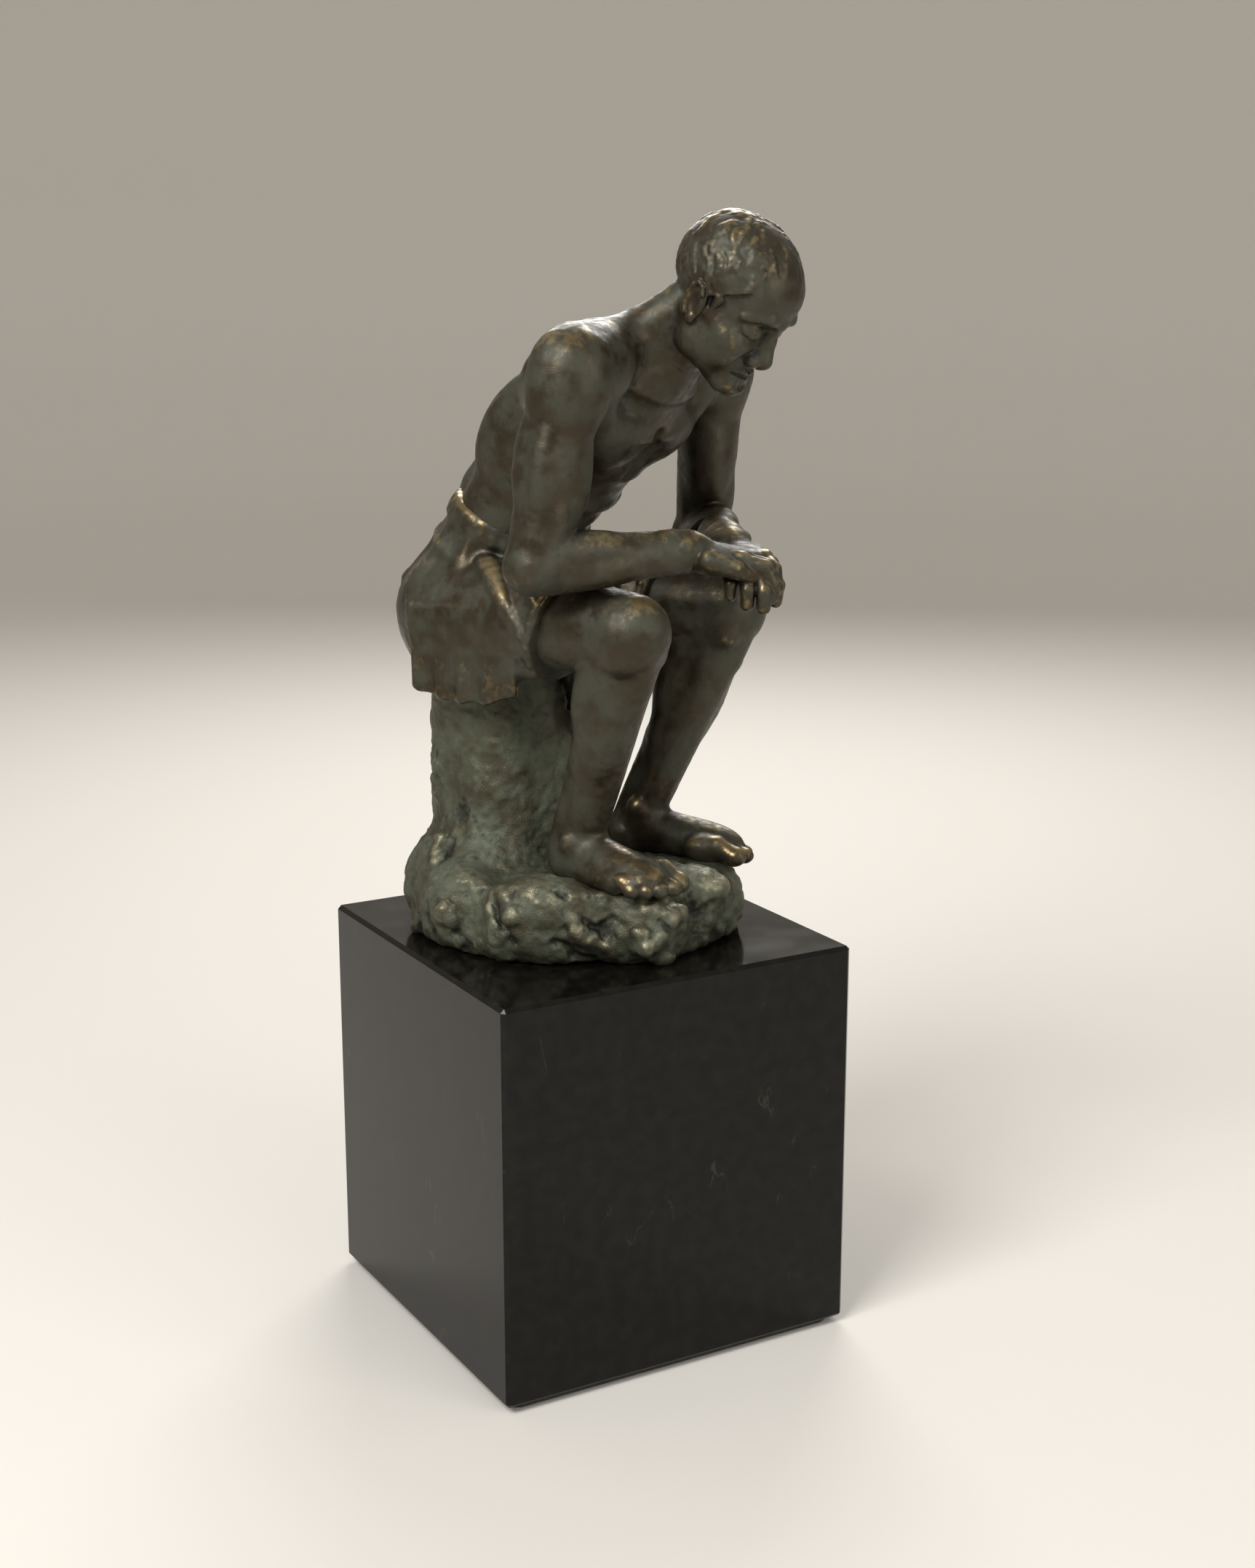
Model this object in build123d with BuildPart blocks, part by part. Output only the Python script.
from build123d import *

import os
from math import cos, pi, radians, sin, sqrt

# Seated bronze figure on a rock, bolted to a polished black stone plinth.
# Millimetres and degrees, +Z up. The origin is the middle of the felt pad's underside,
# and the plinth's front face looks along -Y. The bronze is cast in sections that meet on
# flat faces: each joint has a spigot in a socket and a cross pin, filed flush.

# Stone plinth and its felt pad
PLINTH_WIDTH = 120.0
PLINTH_HEIGHT = 124.0
PLINTH_BEVEL = 1.2
PAD_THICKNESS = 2.0
PAD_INSET = 3.0
PAD_CORNER = 4.0

# Studs that hold the bronze to the plinth, with a washer and a nut in a counterbore
STUD_RADIUS = 4.0
STUD_END_CHAMFER = 0.8
STUD_ENGAGEMENT = 13.0
STUD_SPARE = 2.5
STUD_HOLE_CLEARANCE = 0.5
COUNTERBORE_RADIUS = 14.0
COUNTERBORE_DEPTH = 18.0
WASHER_RADIUS = 12.0
WASHER_THICKNESS = 2.0
NUT_ACROSS_FLATS = 13.0
NUT_HEIGHT = 6.5
NUT_CHAMFER = 0.6
BOSS_RADIUS = 8.0
BOSS_WALL_BITE = 1.5
THREAD_FIT = 0.05

# Rock: a low mound under the feet and a stump that the figure sits on
FIGURE_TURN = 28.0
MOUND_HALF_LENGTH = 54.0
MOUND_HALF_WIDTH = 47.5
MOUND_BACK_SHIFT = 5.0
MOUND_FOOT_UNDERCUT = 2.5
MOUND_SHOULDER = 4.5
FOOT_LEDGE = 22.0
STUMP_ROOT_RADIUS = 27.8
STUMP_ROOT_FLARE = 7.0
STUMP_WAIST_RADIUS = 26.0
STUMP_SEAT_RADIUS = 26.0
STUMP_ROOT_BACK = 28.5
ROCK_WALL = 4.5
ROCK_LOBES = 14
ROCK_SWELL = 0.045
ROCK_RIPPLE = 0.035
MOUND_PHASE = 0.4
STUMP_PHASE = 5.0
STUMP_TWIST = 1.6
BOULDER_PROUD = 2.4
BOULDER_SEAT = 0.6
BOULDERS = [
    (28, 10.0),
    (64, 11.5),
    (102, 12.0),
    (140, 11.0),
    (172, 10.5),
    (206, 11.5),
    (246, 12.0),
    (284, 11.0),
    (330, 10.0),
]

# Legs, from the soles up
ANKLE_FORWARD = 10.5
ANKLE_SPREAD = 18.0
ANKLE_HEIGHT = 12.5
ANKLE_RADIUS = 7.0
SHIN = 71.0
SHIN_TUCK = 20.0
SHIN_FLARE = 8.5
CALF_RADIUS = 11.0
KNEE_RADIUS = 12.0
THIGH = 71.0
THIGH_RADIUS = 17.0
HIP_SPREAD = 17.0
HEM_SHARE = 0.66
FOOT_LENGTH = 50.5
FOOT_HALF_WIDTH = 9.8
HEEL_BACK = 12.0
TOES_OUT = 9.0
TOE_RADIUS = 3.1

# Draped lap
SEAT_DROP = 16.5
PELVIS_HALF_WIDTH = 30.5
PELVIS_HALF_DEPTH = 21.8
CLOTH_THICKNESS = 1.6
CLOTH_FALL = 34.0
CLOTH_FALL_HALF_WIDTH = 9.0
FALL_GAP = 6.0
SIDE_FALL = 27.0
SIDE_FALL_HALF_LENGTH = 17.0
SIDE_FALL_HALF_THICKNESS = 2.6
SIDE_FALL_SHARE = 0.42
CAST_WALL = 4.0

# Back, neck and head
LUMBAR = 34.0
LUMBAR_LEAN = 24.0
THORAX = 35.0
THORAX_LEAN = 40.0
UPPER_BACK = 36.0
UPPER_BACK_LEAN = 52.0
WAIST_HALF_WIDTH = 23.6
WAIST_HALF_DEPTH = 17.4
RIBS_HALF_WIDTH = 25.8
RIBS_HALF_DEPTH = 20.6
CHEST_HALF_WIDTH = 26.6
CHEST_HALF_DEPTH = 21.4
COLLAR_HALF_WIDTH = 22.0
COLLAR_HALF_DEPTH = 14.0
BLADE_RADIUS = 9.6
BLADE_SPREAD = 11.0
BLADE_DEPTH = 10.0
BREAST_RADIUS = 7.2
BREAST_SPREAD = 20.0
BREAST_DEPTH = 14.0
NECK = 15.0
NECK_LEAN = 54.0
NECK_RADIUS = 11.0
HEAD_HEIGHT = 45.0
HEAD_HALF_WIDTH = 15.8
HEAD_HALF_DEPTH = 20.0
HEAD_BOW = 38.0
HAIR_THICKNESS = 1.4
NOSE_LENGTH = 8.6
NOSE_RADIUS = 2.2
EAR_RADIUS = 5.0
EAR_THICKNESS = 2.8

# Arms and hands; a joint's ball stands a little proud of the limbs that meet in it
BALL_PROUD = 0.3
SHOULDER_RISE = 25.0
SHOULDER_FORWARD = 3.0
ARMPIT_GAP = 1.2
SHOULDER_RADIUS = 12.4
UPPER_ARM = 56.0
UPPER_ARM_RADIUS = 11.0
ELBOW_RADIUS = 9.0
ELBOW_OUT = 50.0
FOREARM = 46.0
FOREARM_RADIUS = 9.4
WRIST_RADIUS = 6.0
CLASP_FORWARD = 9.0
CLASP_LIFT = 0.6
WRIST_SPREAD = 12.0
PALM_LENGTH = 18.0
PALM_HALF_WIDTH = 8.8
PALM_HALF_DEPTH = 4.3
HANDS_LIFT = 1.2
HANDS_CROSS = 42.0
HANDS_DROP = 12.0
FINGER_RADIUS = 2.4
FINGER_LENGTH = 15.5

# Joints between the castings
SPIGOT_RADIUS = 4.2
SPIGOT_LENGTH = 10.0
SPIGOT_FIT = 0.1
WRIST_SPIGOT_RADIUS = 2.6
SLEEVE_LENGTH = 8.0
SLEEVE_WALL = 2.6
SLEEVE_WEB = 5.0
SLEEVE_TAPER = 1.4
PIN_RADIUS = 1.0
PIN_FIT = 0.03
DOWEL_RADIUS = 1.5
DOWEL_LENGTH = 9.0
SEAT_BOLT_RADIUS = 3.0
SEAT_BOLT_SPACING = 20.0
SEAT_BOLT_ENGAGEMENT = 9.0
SEAT_BOLT_HEAD_FLATS = 10.0
SEAT_BOLT_HEAD = 4.0
SEAT_WASHER_RADIUS = 6.5
SEAT_WASHER_THICKNESS = 1.5

UP = Vector(0, 0, 1)
facing = Vector(sin(radians(FIGURE_TURN)), -cos(radians(FIGURE_TURN)), 0)
leftward = Vector(cos(radians(FIGURE_TURN)), sin(radians(FIGURE_TURN)), 0)
plinth_top = PAD_THICKNESS + PLINTH_HEIGHT
SIDES = {"left": 1, "right": -1}


def spot(forward, left, up):
    """A point of the figure: ahead of the rock's middle, to the figure's left, above the plinth."""
    return facing * forward + leftward * left + UP * (plinth_top + up)


def lean(angle):
    """The direction that leans forward from upright by an angle."""
    return facing * sin(radians(angle)) + UP * cos(radians(angle))


def limb(start, end, radii, mode=Mode.ADD):
    """A round limb along a straight bone, its radius given at even steps."""
    bone = end - start
    rings = []
    for step, radius in enumerate(radii):
        with BuildSketch(Plane(start + bone * (step / (len(radii) - 1)), z_dir=bone)) as ring:
            Circle(radius)
        rings.append(ring.sketch)
    loft(rings, mode=mode)


def ball(centre, radius, mode=Mode.ADD):
    """A round joint."""
    with Locations(centre):
        Sphere(radius, mode=mode)


def rod(start, end, radius, mode=Mode.ADD):
    """A straight round rod, hole or pin."""
    with BuildSketch(Plane(start, z_dir=end - start)) as face:
        Circle(radius)
    extrude(face.sketch, (end - start).length, mode=mode)


def ovals(stations, shrink=0.0, mode=Mode.ADD):
    """A loft through ovals, each with its middle, direction, half width and half depth."""
    faces = []
    for middle, direction, half_width, half_depth in stations:
        with BuildSketch(Plane(middle, x_dir=leftward, z_dir=direction)) as face:
            Ellipse(half_width - shrink, half_depth - shrink)
        faces.append(face.sketch)
    loft(faces, mode=mode)


def finish(piece, name):
    """Labels a finished piece and writes its file."""
    piece.part.label = name
    export_step(piece.part, f"parts/{name}.step")


# Where the joints of the body are, worked out from the soles up
ankle = {}
knee = {}
hip = {}
hem = {}
for side, sign in SIDES.items():
    ankle[side] = spot(ANKLE_FORWARD, sign * ANKLE_SPREAD, FOOT_LEDGE + ANKLE_HEIGHT)
    shin_run = SHIN * cos(radians(SHIN_FLARE))
    knee[side] = (
        ankle[side]
        + facing * (shin_run * sin(radians(SHIN_TUCK)))
        + leftward * (sign * SHIN * sin(radians(SHIN_FLARE)))
        + UP * (shin_run * cos(radians(SHIN_TUCK)))
    )
    knee_spread = ANKLE_SPREAD + SHIN * sin(radians(SHIN_FLARE))
    thigh_run = sqrt(THIGH**2 - (knee_spread - HIP_SPREAD) ** 2)
    hip[side] = knee[side] - facing * thigh_run - leftward * (sign * (knee_spread - HIP_SPREAD))
    hem[side] = hip[side] + (knee[side] - hip[side]) * HEM_SHARE

pelvis = (hip["left"] + hip["right"]) * 0.5
hip_height = pelvis.Z - plinth_top
hip_forward = pelvis.dot(facing)
seat = hip_height - SEAT_DROP
seat_height = plinth_top + seat
waist = pelvis + lean(LUMBAR_LEAN) * LUMBAR
chest = waist + lean(THORAX_LEAN) * THORAX
neck_base = chest + lean(UPPER_BACK_LEAN) * UPPER_BACK
neck_top = neck_base + lean(NECK_LEAN) * NECK
head_up = lean(HEAD_BOW)
head_front = lean(HEAD_BOW + 90)
waist_lean = (LUMBAR_LEAN + THORAX_LEAN) / 2
shoulder_lean = (THORAX_LEAN + UPPER_BACK_LEAN) / 2
shoulder_cut = CHEST_HALF_WIDTH + ARMPIT_GAP
shoulder_spread = shoulder_cut + UPPER_ARM_RADIUS + 2 * BALL_PROUD
shoulder_middle = chest + lean(shoulder_lean) * SHOULDER_RISE + facing * SHOULDER_FORWARD

shoulder = {}
wrist = {}
elbow = {}
knee_middle = (knee["left"] + knee["right"]) * 0.5
for side, sign in SIDES.items():
    shoulder[side] = shoulder_middle + leftward * (sign * shoulder_spread)
    wrist[side] = knee_middle + facing * CLASP_FORWARD + UP * (KNEE_RADIUS + FOREARM_RADIUS + CLASP_LIFT)
    wrist[side] += leftward * (sign * WRIST_SPREAD) - UP * (sign * HANDS_LIFT / 2)
    reach = wrist[side] - shoulder[side]
    along = (UPPER_ARM**2 - FOREARM**2 + reach.length**2) / (2 * reach.length)
    bend = sqrt(UPPER_ARM**2 - along**2)
    out = leftward * (sign * sin(radians(ELBOW_OUT))) - facing * cos(radians(ELBOW_OUT))
    out -= reach.normalized() * out.dot(reach.normalized())
    elbow[side] = shoulder[side] + reach.normalized() * along + out.normalized() * bend

os.makedirs("parts", exist_ok=True)


# Plinth and fixings
stud_reach = MOUND_HALF_WIDTH - ROCK_WALL - BOSS_RADIUS + BOSS_WALL_BITE
stud_spots = [leftward * stud_reach, leftward * -stud_reach]
counterbore_top = PAD_THICKNESS + COUNTERBORE_DEPTH

with BuildPart() as plinth_block:
    with Locations((0, 0, PAD_THICKNESS)):
        Box(
            PLINTH_WIDTH,
            PLINTH_WIDTH,
            PLINTH_HEIGHT,
            align=(Align.CENTER, Align.CENTER, Align.MIN),
        )
    chamfer(plinth_block.edges(), PLINTH_BEVEL)
    for place in stud_spots:
        rod(place + UP * PAD_THICKNESS, place + UP * counterbore_top, COUNTERBORE_RADIUS, Mode.SUBTRACT)
        rod(
            place + UP * counterbore_top,
            place + UP * plinth_top,
            STUD_RADIUS + STUD_HOLE_CLEARANCE,
            Mode.SUBTRACT,
        )
finish(plinth_block, "plinth_block")

with BuildPart() as felt_pad:
    with BuildSketch():
        RectangleRounded(PLINTH_WIDTH - 2 * PAD_INSET, PLINTH_WIDTH - 2 * PAD_INSET, PAD_CORNER)
    extrude(amount=PAD_THICKNESS)
finish(felt_pad, "felt_pad")

washer_bottom = counterbore_top - WASHER_THICKNESS
nut_bottom = washer_bottom - NUT_HEIGHT

with BuildPart() as fixing_studs:
    for place in stud_spots:
        rod(
            place + UP * (nut_bottom - STUD_SPARE),
            place + UP * (plinth_top + STUD_ENGAGEMENT),
            STUD_RADIUS,
        )
    chamfer(fixing_studs.edges().filter_by(GeomType.CIRCLE), STUD_END_CHAMFER)
finish(fixing_studs, "fixing_studs")

with BuildPart() as stud_washers:
    for place in stud_spots:
        rod(place + UP * washer_bottom, place + UP * counterbore_top, WASHER_RADIUS)
    for place in stud_spots:
        rod(
            place + UP * washer_bottom,
            place + UP * counterbore_top,
            STUD_RADIUS + STUD_HOLE_CLEARANCE,
            Mode.SUBTRACT,
        )
finish(stud_washers, "stud_washers")

with BuildPart() as stud_nuts:
    for place in stud_spots:
        with BuildSketch(Plane(place + UP * nut_bottom)) as flats:
            RegularPolygon(NUT_ACROSS_FLATS / 2, 6, major_radius=False)
            Circle(STUD_RADIUS + THREAD_FIT, mode=Mode.SUBTRACT)
        extrude(flats.sketch, NUT_HEIGHT)
    outer_edges = stud_nuts.faces().filter_by(Axis.Z).edges().filter_by(GeomType.LINE)
    chamfer(outer_edges, NUT_CHAMFER)
finish(stud_nuts, "stud_nuts")


# Rock, hollow and open below
def rock_outline(forward, half_length, half_width, up, phase):
    """A lobed closed curve at one height of the rock."""
    points = []
    for step in range(ROCK_LOBES):
        turn = 2 * pi * step / ROCK_LOBES
        swell = 1 + ROCK_SWELL * sin(3 * turn + phase) + ROCK_RIPPLE * sin(5 * turn + 2 * phase)
        points.append(
            spot(
                forward + half_length * swell * cos(turn),
                half_width * swell * sin(turn),
                up,
            )
        )
    with BuildSketch(Plane(spot(forward, 0, up))) as outline:
        with BuildLine():
            Spline([outline.workplanes[0].to_local_coords(point) for point in points], periodic=True)
        make_face()
    return outline.sketch


def mound(shrink, top, mode=Mode.ADD):
    """The low mound: undercut at its foot, fullest above it and rounded over at the top."""
    rings = [
        (0.0, MOUND_FOOT_UNDERCUT),
        (FOOT_LEDGE * 0.25, 0.0),
        (FOOT_LEDGE * 0.6, 0.6),
        (FOOT_LEDGE * 0.85, MOUND_SHOULDER * 0.4),
        (FOOT_LEDGE, MOUND_SHOULDER),
    ]
    loft(
        [
            rock_outline(
                -MOUND_BACK_SHIFT,
                MOUND_HALF_LENGTH - inset - shrink,
                MOUND_HALF_WIDTH - inset - shrink,
                up * top / FOOT_LEDGE,
                MOUND_PHASE,
            )
            for up, inset in rings
        ],
        mode=mode,
    )


seat_forward = hip_forward + 0.3 * STUMP_SEAT_RADIUS


def stump(shrink, bottom, top, mode=Mode.ADD):
    """The stump, from its spread root inside the mound up to the seat."""
    rings = [
        (0.0, -STUMP_ROOT_BACK, STUMP_ROOT_RADIUS, STUMP_ROOT_FLARE),
        (0.3, -STUMP_ROOT_BACK, (STUMP_ROOT_RADIUS + STUMP_WAIST_RADIUS) / 2, STUMP_ROOT_FLARE * 0.4),
        (0.6, (seat_forward - STUMP_ROOT_BACK) / 2, STUMP_WAIST_RADIUS, 0.0),
        (0.9, seat_forward, STUMP_SEAT_RADIUS + 0.6, 0.0),
        (1.0, seat_forward, STUMP_SEAT_RADIUS - 0.6, 0.0),
    ]
    loft(
        [
            rock_outline(
                forward,
                radius - shrink,
                radius + flare - shrink,
                bottom + (top - bottom) * share,
                STUMP_PHASE + STUMP_TWIST * share,
            )
            for share, forward, radius, flare in rings
        ],
        mode=mode,
    )


def boulders():
    """Rounded lumps round the mound's rim; each has its turn from the front and its radius."""
    for turn, radius in BOULDERS:
        inset = radius - BOULDER_PROUD
        ball(
            spot(
                (MOUND_HALF_LENGTH - inset) * cos(radians(turn)) - MOUND_BACK_SHIFT,
                (MOUND_HALF_WIDTH - inset) * sin(radians(turn)),
                radius + BOULDER_SEAT,
            ),
            radius,
        )


seat_bolt_spots = [
    spot(hip_forward, sign * SEAT_BOLT_SPACING / 2, seat) for sign in SIDES.values()
]
roof_bottom = UP * ROCK_WALL
sole_spots = [ankle[side] - UP * ANKLE_HEIGHT for side in SIDES]

with BuildPart() as rock_casting:
    mound(0.0, FOOT_LEDGE)
    stump(0.0, FOOT_LEDGE / 2, seat)
    boulders()
    mound(ROCK_WALL, FOOT_LEDGE - ROCK_WALL, Mode.SUBTRACT)
    stump(ROCK_WALL, FOOT_LEDGE / 2, seat - ROCK_WALL, Mode.SUBTRACT)
    for place in stud_spots:
        rod(place + UP * plinth_top, place + UP * (plinth_top + FOOT_LEDGE - ROCK_WALL), BOSS_RADIUS)
    for place in stud_spots:
        rod(
            place + UP * plinth_top,
            place + UP * (plinth_top + STUD_ENGAGEMENT + 1),
            STUD_RADIUS + THREAD_FIT,
            Mode.SUBTRACT,
        )
    for place in seat_bolt_spots:
        rod(place - roof_bottom, place, SEAT_BOLT_RADIUS + STUD_HOLE_CLEARANCE, Mode.SUBTRACT)
    for place in sole_spots:
        rod(place, place - UP * DOWEL_LENGTH, DOWEL_RADIUS + PIN_FIT, Mode.SUBTRACT)
finish(rock_casting, "rock_casting")


# Lap: pelvis and upper thighs under a cloth that falls between the legs and over the seat's sides
thigh_way = {side: (knee[side] - hip[side]).normalized() for side in SIDES}
hem_radius = KNEE_RADIUS + 0.35 * (THIGH_RADIUS - KNEE_RADIUS)
waist_way = lean(waist_lean)
pelvis_ovals = [
    (spot(hip_forward, 0, seat - 4), UP, PELVIS_HALF_WIDTH - 2, PELVIS_HALF_DEPTH - 1),
    (pelvis, lean(LUMBAR_LEAN / 3), PELVIS_HALF_WIDTH, PELVIS_HALF_DEPTH),
    (
        pelvis + lean(LUMBAR_LEAN) * (LUMBAR * 0.6),
        lean(LUMBAR_LEAN),
        (PELVIS_HALF_WIDTH + WAIST_HALF_WIDTH) / 2,
        (PELVIS_HALF_DEPTH + WAIST_HALF_DEPTH) / 2,
    ),
    (waist, waist_way, WAIST_HALF_WIDTH, WAIST_HALF_DEPTH),
]
lap_floor = (spot(hip_forward, 0, seat + CAST_WALL), UP, PELVIS_HALF_WIDTH - 2, PELVIS_HALF_DEPTH - 1)
fall_top = spot(seat_forward + STUMP_SEAT_RADIUS + FALL_GAP, 0, hip_height - 2)
fall_cuts = [(0.0, 1.0, 3.2), (0.5, 0.8, 2.6), (1.0, 0.62, 1.8)]
side_fall_cuts = [(0.0, 1.0, 1.0), (0.5, 0.84, 0.85), (1.0, 0.5, 0.55)]

with BuildPart() as lap_form:
    ovals(pelvis_ovals)
    for side in SIDES:
        limb(
            hip[side],
            hem[side],
            [
                THIGH_RADIUS + CLOTH_THICKNESS,
                THIGH_RADIUS + CLOTH_THICKNESS,
                hem_radius + CLOTH_THICKNESS + 0.6,
                hem_radius + CLOTH_THICKNESS,
            ],
        )
    limb(pelvis, fall_top, [THIGH_RADIUS, THIGH_RADIUS * 0.85, THIGH_RADIUS * 0.6])
    split(bisect_by=Plane(spot(0, 0, seat)), keep=Keep.TOP)
    ovals(
        [
            (fall_top - UP * (CLOTH_FALL * share), UP, CLOTH_FALL_HALF_WIDTH * width, depth)
            for share, width, depth in fall_cuts
        ]
    )
    for side, sign in SIDES.items():
        side_fall_top = hip[side] + (hem[side] - hip[side]) * SIDE_FALL_SHARE
        side_fall_top += leftward * (sign * (THIGH_RADIUS - 1))
        ovals(
            [
                (
                    side_fall_top - UP * (SIDE_FALL * share),
                    UP,
                    SIDE_FALL_HALF_THICKNESS * depth,
                    SIDE_FALL_HALF_LENGTH * length,
                )
                for share, length, depth in side_fall_cuts
            ]
        )

with BuildPart() as lap_casting:
    add(lap_form.part)
    ovals([lap_floor, *pelvis_ovals[1:]], CAST_WALL, Mode.SUBTRACT)
    for place in seat_bolt_spots:
        rod(place, place + UP * (SEAT_BOLT_ENGAGEMENT + 3), SEAT_BOLT_RADIUS * 2)
    for place in seat_bolt_spots:
        rod(place, place + UP * (SEAT_BOLT_ENGAGEMENT + 1), SEAT_BOLT_RADIUS + THREAD_FIT, Mode.SUBTRACT)
    for side, sign in SIDES.items():
        socket_end = hem[side] - thigh_way[side] * (SPIGOT_LENGTH + 1)
        rod(hem[side], socket_end, SPIGOT_RADIUS + SPIGOT_FIT, Mode.SUBTRACT)
        pin_foot = hem[side] - thigh_way[side] * (SPIGOT_LENGTH / 2)
        rod(pin_foot, pin_foot + UP * (THIGH_RADIUS * 2), PIN_RADIUS + PIN_FIT, Mode.SUBTRACT)
        pin_foot = waist - waist_way * (SLEEVE_LENGTH / 2)
        rod(
            pin_foot,
            pin_foot + leftward * (sign * PELVIS_HALF_WIDTH * 2),
            PIN_RADIUS + PIN_FIT,
            Mode.SUBTRACT,
        )
finish(lap_casting, "lap_casting")


# Torso, hollow, with a sleeve down into the lap and sockets for the neck and arms
neck_way = lean(NECK_LEAN)
collar = chest + lean(UPPER_BACK_LEAN) * (UPPER_BACK * 0.8)
torso_ovals = [
    (waist, waist_way, WAIST_HALF_WIDTH, WAIST_HALF_DEPTH),
    (waist + lean(THORAX_LEAN) * (THORAX * 0.5), lean(THORAX_LEAN), RIBS_HALF_WIDTH, RIBS_HALF_DEPTH),
    (chest, lean(shoulder_lean), CHEST_HALF_WIDTH, CHEST_HALF_DEPTH),
    (
        chest + lean(UPPER_BACK_LEAN) * (UPPER_BACK * 0.45),
        lean(UPPER_BACK_LEAN),
        CHEST_HALF_WIDTH - 0.5,
        CHEST_HALF_DEPTH - 2,
    ),
    (collar, lean((UPPER_BACK_LEAN + NECK_LEAN) / 2), COLLAR_HALF_WIDTH, COLLAR_HALF_DEPTH),
    (neck_base, neck_way, NECK_RADIUS + 1, NECK_RADIUS + 0.8),
]
torso_floor = (waist + waist_way * SLEEVE_WEB, waist_way, WAIST_HALF_WIDTH, WAIST_HALF_DEPTH)


def on_chest(forward, left, rise):
    """A point by its place in front of the chest's middle, to its left and up along the back."""
    return chest + lean(shoulder_lean + 90) * forward + leftward * left + lean(shoulder_lean) * rise


with BuildPart() as torso_form:
    ovals(torso_ovals)
    for sign in SIDES.values():
        limb(
            on_chest(1 - BLADE_DEPTH, sign * BLADE_SPREAD, -UPPER_BACK * 0.2),
            on_chest(-BLADE_DEPTH, sign * (BLADE_SPREAD + 1), UPPER_BACK * 0.78),
            [BLADE_RADIUS * 0.6, BLADE_RADIUS, BLADE_RADIUS, BLADE_RADIUS * 0.65],
        )
        limb(
            on_chest(BREAST_DEPTH, sign * BREAST_SPREAD * 0.12, UPPER_BACK * 0.25),
            on_chest(BREAST_DEPTH - 2, sign * BREAST_SPREAD, UPPER_BACK * 0.3),
            [BREAST_RADIUS * 0.6, BREAST_RADIUS, BREAST_RADIUS, BREAST_RADIUS * 0.6],
        )
        limb(
            shoulder_middle + leftward * (sign * shoulder_cut * 0.45),
            shoulder_middle + leftward * (sign * shoulder_cut),
            [SHOULDER_RADIUS + 1.5, SHOULDER_RADIUS + 0.6, SHOULDER_RADIUS - 0.4],
        )
        limb(
            neck_base - neck_way * (NECK_RADIUS + 1.5),
            shoulder_middle + leftward * (sign * shoulder_cut * 0.7),
            [NECK_RADIUS - 3, NECK_RADIUS - 2, NECK_RADIUS - 1],
        )

sleeve_width = WAIST_HALF_WIDTH - CAST_WALL - SPIGOT_FIT
sleeve_depth = WAIST_HALF_DEPTH - CAST_WALL - SPIGOT_FIT
sleeve_foot = (
    waist - waist_way * SLEEVE_LENGTH,
    waist_way,
    sleeve_width - SLEEVE_TAPER,
    sleeve_depth - SLEEVE_TAPER,
)

with BuildPart() as torso_casting:
    add(torso_form.part)
    ovals([torso_floor, *torso_ovals[1:5]], CAST_WALL, Mode.SUBTRACT)
    ovals([sleeve_foot, (waist, waist_way, sleeve_width, sleeve_depth)])
    ovals(
        [sleeve_foot, (waist + waist_way * (SLEEVE_WEB + 1), waist_way, sleeve_width, sleeve_depth)],
        SLEEVE_WALL,
        Mode.SUBTRACT,
    )
    for sign in SIDES.values():
        stub = shoulder_middle + leftward * (sign * shoulder_cut)
        rod(stub, stub - leftward * (sign * (SPIGOT_LENGTH + 3)), SPIGOT_RADIUS + CAST_WALL)
    for sign in SIDES.values():
        stub = shoulder_middle + leftward * (sign * shoulder_cut)
        rod(
            stub,
            stub - leftward * (sign * (SPIGOT_LENGTH + 1)),
            SPIGOT_RADIUS + SPIGOT_FIT,
            Mode.SUBTRACT,
        )
        pin_foot = stub - leftward * (sign * SPIGOT_LENGTH / 2)
        rod(pin_foot, pin_foot + UP * (SHOULDER_RADIUS * 2), PIN_RADIUS + PIN_FIT, Mode.SUBTRACT)
        pin_foot = waist - waist_way * (SLEEVE_LENGTH / 2)
        rod(
            pin_foot,
            pin_foot + leftward * (sign * PELVIS_HALF_WIDTH),
            PIN_RADIUS + PIN_FIT,
            Mode.SUBTRACT,
        )
    rod(neck_base, neck_base - neck_way * (SPIGOT_LENGTH + 1), SPIGOT_RADIUS + SPIGOT_FIT, Mode.SUBTRACT)
    pin_foot = neck_base - neck_way * (SPIGOT_LENGTH / 3)
    rod(pin_foot, pin_foot - lean(NECK_LEAN + 90) * (NECK_RADIUS * 3), PIN_RADIUS + PIN_FIT, Mode.SUBTRACT)
finish(torso_casting, "torso_casting")


# Head and neck
head_middle = neck_top + head_up * (HEAD_HEIGHT * 0.23) + head_front * (HEAD_HALF_DEPTH * 0.26)
head_cuts = [
    (-0.5, 0.5, 0.36, 0.3),
    (-0.34, 0.27, 0.76, 0.72),
    (-0.17, 0.1, 0.92, 0.92),
    (0.0, 0.0, 0.98, 0.99),
    (0.14, -0.02, 1.0, 1.0),
    (0.31, -0.05, 0.91, 0.89),
    (0.44, -0.07, 0.62, 0.6),
    (0.5, -0.08, 0.24, 0.22),
]
hair_cuts = [
    (-0.12, 0.3, 0.78, 0.72),
    (0.12, 0.16, 0.98, 0.9),
    (0.31, 0.1, 0.91, 0.88),
    (0.45, 0.08, 0.62, 0.6),
    (0.52, 0.08, 0.2, 0.18),
]
nose_root = head_middle + head_front * (HEAD_HALF_DEPTH - 0.6) + head_up * 1.5

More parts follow.
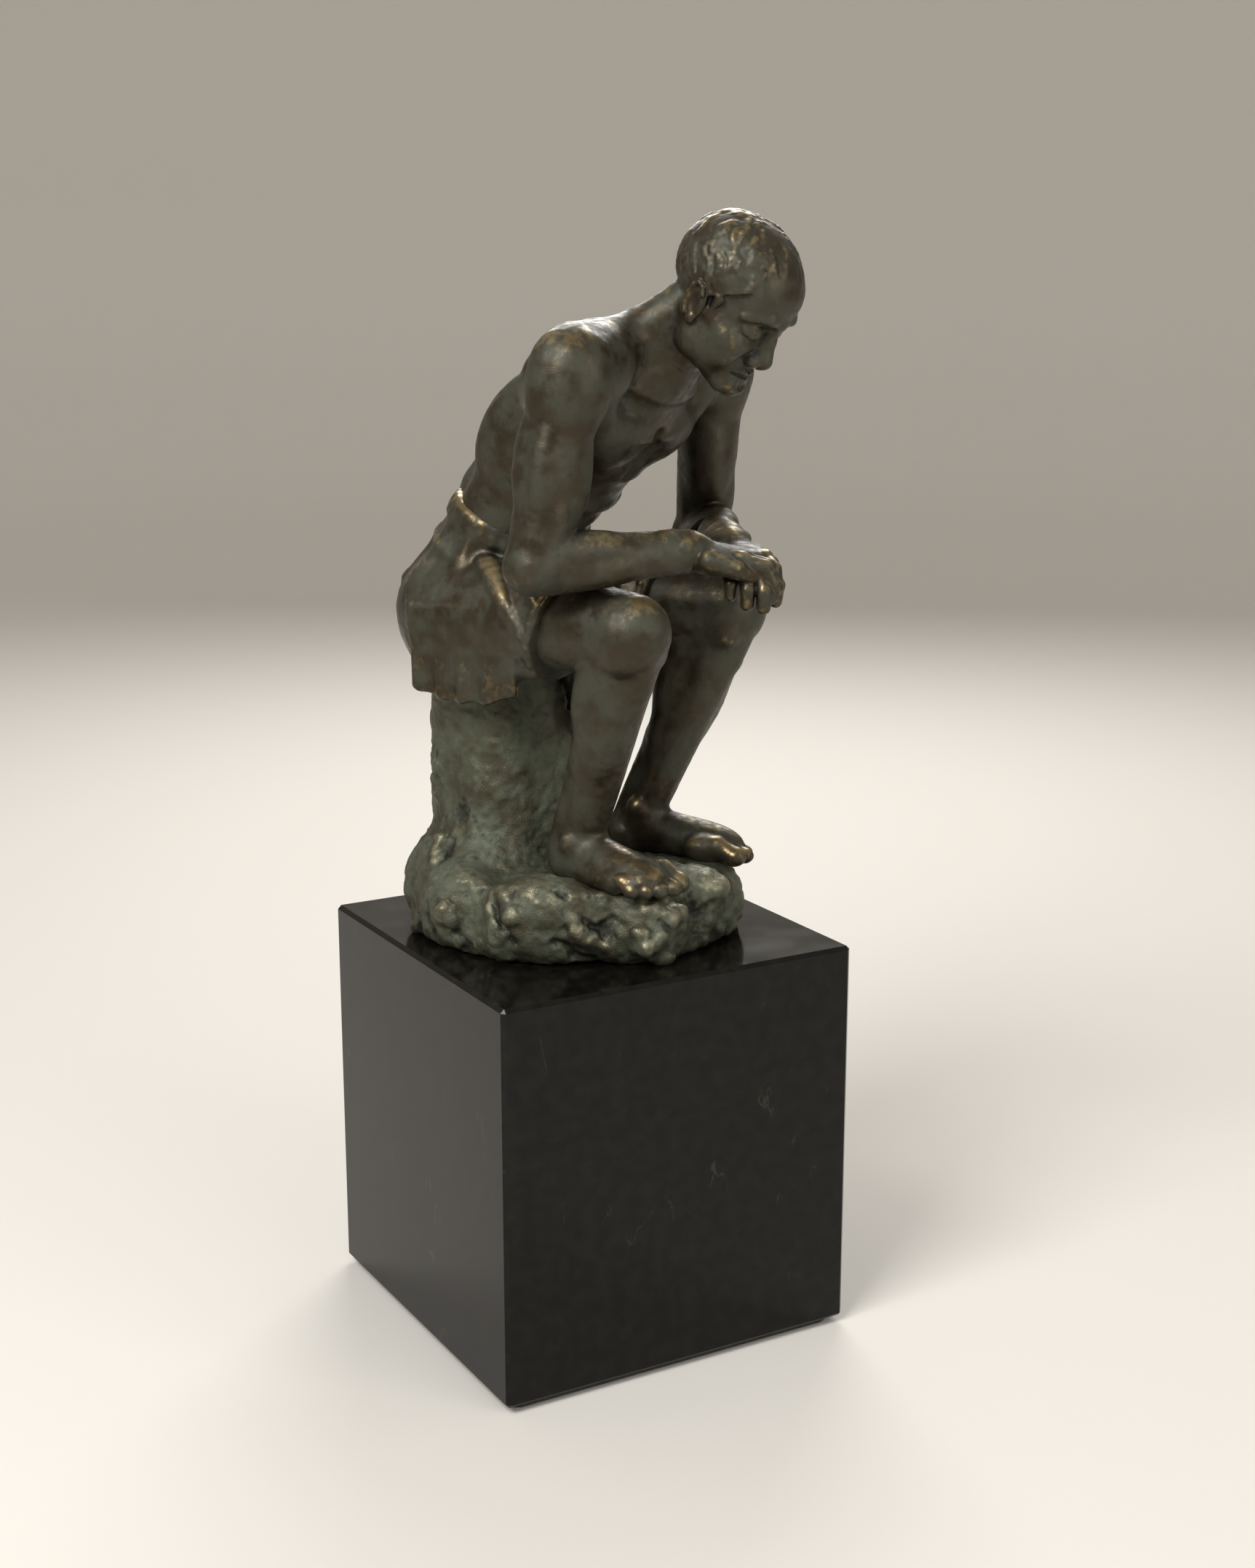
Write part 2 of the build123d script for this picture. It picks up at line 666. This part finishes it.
with BuildPart() as head_casting:
    ovals(
        [
            (
                head_middle + head_up * (HEAD_HEIGHT * rise) + head_front * (HEAD_HALF_DEPTH * ahead),
                head_up,
                HEAD_HALF_WIDTH * width,
                HEAD_HALF_DEPTH * depth,
            )
            for rise, ahead, width, depth in head_cuts
        ]
    )
    ovals(
        [
            (
                head_middle + head_up * (HEAD_HEIGHT * rise) - head_front * (HEAD_HALF_DEPTH * back),
                head_up,
                HEAD_HALF_WIDTH * width + HAIR_THICKNESS,
                HEAD_HALF_DEPTH * depth + HAIR_THICKNESS,
            )
            for rise, back, width, depth in hair_cuts
        ]
    )
    limb(neck_base, neck_top + neck_way * 4, [NECK_RADIUS + 0.6, NECK_RADIUS, NECK_RADIUS])
    nose_tip = nose_root - head_up * NOSE_LENGTH + head_front * (NOSE_LENGTH * 0.35)
    limb(nose_root, nose_tip, [NOSE_RADIUS * 0.6, NOSE_RADIUS])
    ball(nose_tip, NOSE_RADIUS)
    for sign in SIDES.values():
        ear = head_middle + leftward * (sign * (HEAD_HALF_WIDTH - 1)) - head_front * 1.5
        limb(ear, ear + leftward * (sign * EAR_THICKNESS), [EAR_RADIUS, EAR_RADIUS * 0.7])
    rod(neck_base - neck_way * SPIGOT_LENGTH, neck_base, SPIGOT_RADIUS)
    rod(pin_foot, pin_foot - lean(NECK_LEAN + 90) * NECK_RADIUS, PIN_RADIUS + PIN_FIT, Mode.SUBTRACT)
finish(head_casting, "head_casting")

with BuildPart() as neck_pin:
    rod(pin_foot, pin_foot - lean(NECK_LEAN + 90) * (NECK_RADIUS * 3), PIN_RADIUS)
    add(torso_form.part, mode=Mode.INTERSECT)
finish(neck_pin, "neck_pin")

with BuildPart() as waist_pins:
    for sign in SIDES.values():
        pin_foot = waist - waist_way * (SLEEVE_LENGTH / 2)
        rod(
            pin_foot + leftward * (sign * (sleeve_width - SLEEVE_WALL)),
            pin_foot + leftward * (sign * PELVIS_HALF_WIDTH),
            PIN_RADIUS,
        )
    add(lap_form.part, mode=Mode.INTERSECT)
finish(waist_pins, "waist_pins")

with BuildPart() as shoulder_pins:
    for sign in SIDES.values():
        pin_foot = shoulder_middle + leftward * (sign * (shoulder_cut - SPIGOT_LENGTH / 2))
        rod(pin_foot, pin_foot + UP * (SHOULDER_RADIUS * 2), PIN_RADIUS)
    add(torso_form.part, mode=Mode.INTERSECT)
finish(shoulder_pins, "shoulder_pins")


# Arms
forearm_way = {side: (wrist[side] - elbow[side]).normalized() for side in SIDES}
wrist_up = {side: forearm_way[side].cross(UP).cross(forearm_way[side]).normalized() for side in SIDES}
wrist_pin_foot = {side: wrist[side] - forearm_way[side] * (SPIGOT_LENGTH / 2) for side in SIDES}


def arm(side, sign):
    """The outside of one arm, from the shoulder's joint face to the wrist's."""
    limb(
        shoulder_middle + leftward * (sign * shoulder_cut),
        shoulder[side],
        [SHOULDER_RADIUS - 0.4, SHOULDER_RADIUS, UPPER_ARM_RADIUS],
    )
    ball(shoulder[side], UPPER_ARM_RADIUS + BALL_PROUD)
    limb(
        shoulder[side],
        elbow[side],
        [UPPER_ARM_RADIUS, UPPER_ARM_RADIUS, UPPER_ARM_RADIUS, ELBOW_RADIUS + 0.6, ELBOW_RADIUS],
    )
    ball(elbow[side], ELBOW_RADIUS + BALL_PROUD)
    limb(
        elbow[side],
        wrist[side],
        [ELBOW_RADIUS, FOREARM_RADIUS, FOREARM_RADIUS * 0.9, WRIST_RADIUS * 1.2, WRIST_RADIUS],
    )


def arm_joints(side, sign):
    """The spigot at the shoulder and the socket at the wrist, each drilled for its pin."""
    stub = shoulder_middle + leftward * (sign * shoulder_cut)
    rod(stub, stub - leftward * (sign * SPIGOT_LENGTH), SPIGOT_RADIUS)
    pin_foot = stub - leftward * (sign * SPIGOT_LENGTH / 2)
    rod(pin_foot, pin_foot + UP * SHOULDER_RADIUS, PIN_RADIUS + PIN_FIT, Mode.SUBTRACT)
    socket_end = wrist[side] - forearm_way[side] * (SPIGOT_LENGTH + 1)
    rod(wrist[side], socket_end, WRIST_SPIGOT_RADIUS + SPIGOT_FIT, Mode.SUBTRACT)
    pin_foot = wrist_pin_foot[side]
    rod(pin_foot, pin_foot + wrist_up[side] * (WRIST_RADIUS * 3), PIN_RADIUS + PIN_FIT, Mode.SUBTRACT)


with BuildPart() as left_arm_form:
    arm("left", SIDES["left"])

with BuildPart() as left_arm_casting:
    add(left_arm_form.part)
    arm_joints("left", SIDES["left"])
finish(left_arm_casting, "left_arm_casting")

with BuildPart() as right_arm_form:
    arm("right", SIDES["right"])

with BuildPart() as right_arm_casting:
    add(right_arm_form.part)
    arm_joints("right", SIDES["right"])
finish(right_arm_casting, "right_arm_casting")


# Hands, one laid over the other, cast together
hand_way = {}
hand_side = {}
hand_back = {}
for side, sign in SIDES.items():
    cross = facing * cos(radians(HANDS_CROSS)) - leftward * (sign * sin(radians(HANDS_CROSS)))
    hand_way[side] = cross * cos(radians(HANDS_DROP)) - UP * sin(radians(HANDS_DROP))
    hand_side[side] = UP.cross(cross)
    hand_back[side] = hand_way[side].cross(hand_side[side])

palm_cuts = [(0.3, 0.75, 1.0), (0.65, 0.95, 1.05), (1.0, 1.0, 0.75)]
FINGER_ROWS = [-1.5, -0.5, 0.5, 1.5]

with BuildPart() as clasped_hands_casting:
    for side in SIDES:
        faces = []
        with BuildSketch(Plane(wrist[side], x_dir=hand_side[side], z_dir=forearm_way[side])) as face:
            Circle(WRIST_RADIUS)
        faces.append(face.sketch)
        for share, width, depth in palm_cuts:
            middle = wrist[side] + hand_way[side] * (PALM_LENGTH * share)
            with BuildSketch(Plane(middle, x_dir=hand_side[side], z_dir=hand_way[side])) as face:
                Ellipse(PALM_HALF_WIDTH * width, PALM_HALF_DEPTH * depth)
            faces.append(face.sketch)
        loft(faces)
        knuckles = wrist[side] + hand_way[side] * (PALM_LENGTH - FINGER_RADIUS)
        for row in FINGER_ROWS:
            root = knuckles + hand_side[side] * (row * PALM_HALF_WIDTH * 0.47)
            middle_joint = root + hand_way[side] * (FINGER_LENGTH * 0.5) - hand_back[side] * 1.2
            tip = middle_joint + hand_way[side] * (FINGER_LENGTH * 0.3) - UP * (FINGER_LENGTH * 0.4)
            limb(root, middle_joint, [FINGER_RADIUS, FINGER_RADIUS])
            ball(middle_joint, FINGER_RADIUS)
            limb(middle_joint, tip, [FINGER_RADIUS, FINGER_RADIUS * 0.85])
            ball(tip, FINGER_RADIUS * 0.85)
    for side in SIDES:
        rod(wrist[side], wrist[side] - forearm_way[side] * SPIGOT_LENGTH, WRIST_SPIGOT_RADIUS)
        pin_foot = wrist_pin_foot[side]
        rod(pin_foot, pin_foot + wrist_up[side] * WRIST_RADIUS, PIN_RADIUS + PIN_FIT, Mode.SUBTRACT)
finish(clasped_hands_casting, "clasped_hands_casting")

with BuildPart() as both_arm_forms:
    add(left_arm_form.part)
    add(right_arm_form.part)

with BuildPart() as wrist_pins:
    for side in SIDES:
        pin_foot = wrist_pin_foot[side]
        rod(pin_foot, pin_foot + wrist_up[side] * (WRIST_RADIUS * 3), PIN_RADIUS)
    add(both_arm_forms.part, mode=Mode.INTERSECT)
finish(wrist_pins, "wrist_pins")


# Legs, from the hem of the cloth to the toes
foot_cuts = [
    (0.0, 0.4, 0.45),
    (0.1, 0.72, 0.85),
    (0.3, 0.74, 1.1),
    (0.55, 0.86, 0.85),
    (0.78, 1.0, 0.52),
    (0.92, 0.9, 0.4),
]
TOE_ROWS = [(-0.62, 1.0, 0.93), (-0.18, 0.84, 0.95), (0.16, 0.78, 0.92), (0.45, 0.74, 0.87), (0.7, 0.7, 0.81)]


def leg(side, sign):
    """One leg from the hem's joint face to the toes, with its spigot and the dowel's hole."""
    sole = ankle[side] - UP * ANKLE_HEIGHT
    toe_way = facing * cos(radians(TOES_OUT)) + leftward * (sign * sin(radians(TOES_OUT)))
    foot_side = UP.cross(toe_way) * sign
    heel = sole - toe_way * HEEL_BACK
    faces = []
    for share, width, height in foot_cuts:
        middle = heel + toe_way * (FOOT_LENGTH * share) + UP * (ANKLE_HEIGHT * height * 0.4)
        with BuildSketch(Plane(middle, x_dir=foot_side, z_dir=toe_way)) as face:
            Ellipse(FOOT_HALF_WIDTH * width, ANKLE_HEIGHT * height * 0.6)
        faces.append(face.sketch)
    loft(faces)
    for row, size, share in TOE_ROWS:
        tip = heel + toe_way * (FOOT_LENGTH * share) + foot_side * (FOOT_HALF_WIDTH * row)
        tip += UP * (TOE_RADIUS * size * 0.7)
        limb(tip - toe_way * (FOOT_LENGTH * 0.16), tip, [TOE_RADIUS * size, TOE_RADIUS * size])
        ball(tip, TOE_RADIUS * size)
    split(bisect_by=Plane(sole), keep=Keep.TOP)
    ball(ankle[side], ANKLE_RADIUS + 0.4)
    limb(
        knee[side],
        ankle[side],
        [
            KNEE_RADIUS - 0.6,
            CALF_RADIUS,
            CALF_RADIUS,
            CALF_RADIUS * 0.85,
            ANKLE_RADIUS * 1.1,
            ANKLE_RADIUS,
        ],
    )
    shin_way = ankle[side] - knee[side]
    calf_back = -toe_way * (CALF_RADIUS * 0.4)
    limb(
        knee[side] + shin_way * 0.1 + calf_back * 0.5,
        knee[side] + shin_way * 0.62 + calf_back * 0.5,
        [CALF_RADIUS * 0.55, CALF_RADIUS * 1.05, CALF_RADIUS * 0.95, CALF_RADIUS * 0.5],
    )
    ball(knee[side], KNEE_RADIUS + BALL_PROUD)
    limb(hem[side], knee[side], [hem_radius, KNEE_RADIUS + 0.5, KNEE_RADIUS])
    rod(hem[side], hem[side] - thigh_way[side] * SPIGOT_LENGTH, SPIGOT_RADIUS)
    pin_foot = hem[side] - thigh_way[side] * (SPIGOT_LENGTH / 2)
    rod(pin_foot, pin_foot + UP * (SPIGOT_RADIUS * 2), PIN_RADIUS + PIN_FIT, Mode.SUBTRACT)
    rod(sole, sole + UP * (DOWEL_LENGTH / 2 + 0.5), DOWEL_RADIUS + PIN_FIT, Mode.SUBTRACT)


with BuildPart() as left_leg_casting:
    leg("left", SIDES["left"])
finish(left_leg_casting, "left_leg_casting")

with BuildPart() as right_leg_casting:
    leg("right", SIDES["right"])
finish(right_leg_casting, "right_leg_casting")

with BuildPart() as thigh_pins:
    for side in SIDES:
        pin_foot = hem[side] - thigh_way[side] * (SPIGOT_LENGTH / 2)
        rod(pin_foot, pin_foot + UP * (THIGH_RADIUS * 2), PIN_RADIUS)
    add(lap_form.part, mode=Mode.INTERSECT)
finish(thigh_pins, "thigh_pins")

with BuildPart() as sole_dowels:
    for place in sole_spots:
        rod(place - UP * (DOWEL_LENGTH / 2), place + UP * (DOWEL_LENGTH / 2), DOWEL_RADIUS)
finish(sole_dowels, "sole_dowels")


# Bolts from inside the rock up into the lap
with BuildPart() as seat_washers:
    for place in seat_bolt_spots:
        rod(
            place - UP * (ROCK_WALL + SEAT_WASHER_THICKNESS),
            place - UP * ROCK_WALL,
            SEAT_WASHER_RADIUS,
        )
    for place in seat_bolt_spots:
        rod(
            place - UP * (ROCK_WALL + SEAT_WASHER_THICKNESS),
            place - UP * ROCK_WALL,
            SEAT_BOLT_RADIUS + STUD_HOLE_CLEARANCE,
            Mode.SUBTRACT,
        )
finish(seat_washers, "seat_washers")

with BuildPart() as seat_bolts:
    for place in seat_bolt_spots:
        head_top = place - UP * (ROCK_WALL + SEAT_WASHER_THICKNESS)
        with BuildSketch(Plane(head_top - UP * SEAT_BOLT_HEAD)) as flats:
            RegularPolygon(SEAT_BOLT_HEAD_FLATS / 2, 6, major_radius=False)
        extrude(flats.sketch, SEAT_BOLT_HEAD)
        rod(head_top, place + UP * SEAT_BOLT_ENGAGEMENT, SEAT_BOLT_RADIUS)
finish(seat_bolts, "seat_bolts")
